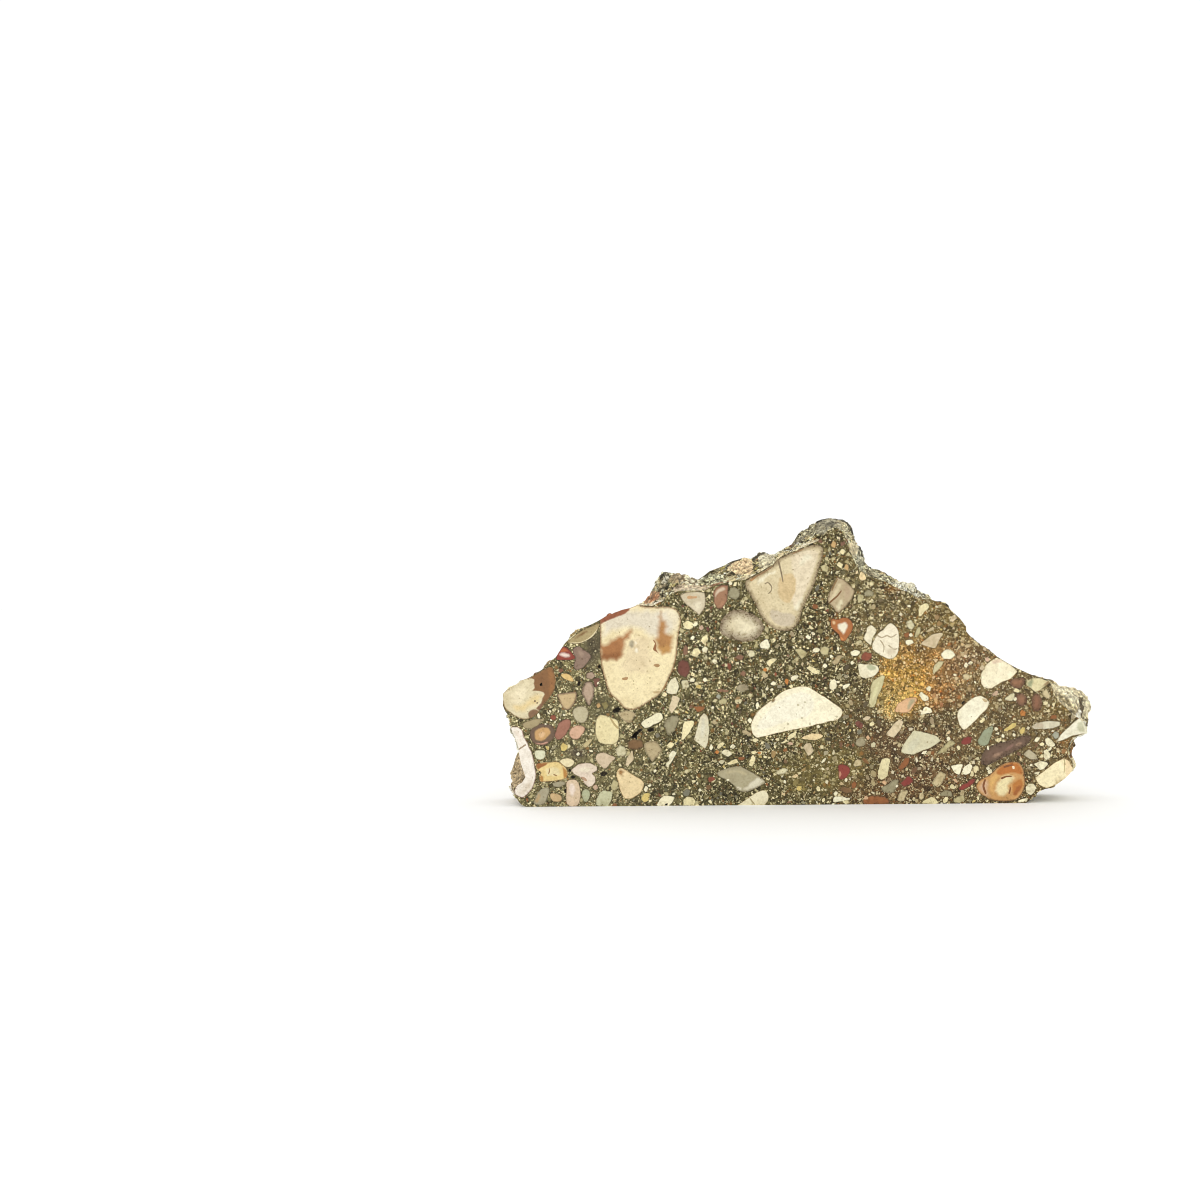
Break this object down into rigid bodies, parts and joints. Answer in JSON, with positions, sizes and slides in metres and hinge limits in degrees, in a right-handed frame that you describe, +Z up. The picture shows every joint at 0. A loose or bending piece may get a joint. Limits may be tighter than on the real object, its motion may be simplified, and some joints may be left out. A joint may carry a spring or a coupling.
{
  "type": "puddingstone slab",
  "caption": "Thick sawn slab of puddingstone standing on its sawn foot, with cream, tan and red pebbles in a brown gravel matrix and a rough broken rind.",
  "frame": {"origin": "centre of the bounding box in plan, at the level of the sawn foot", "axes": "+X along the slab's length, towards the flank with the rounded lobe; the sawn front face looks along -Y; +Z up from the foot to the peak"},
  "size_m": [0.12, 0.012, 0.0566],
  "materials": {
    "stone": "satin"
  },
  "bodies": {
    "root": {"puddingstone_slab": "stone"}
  },
  "joints": []
}
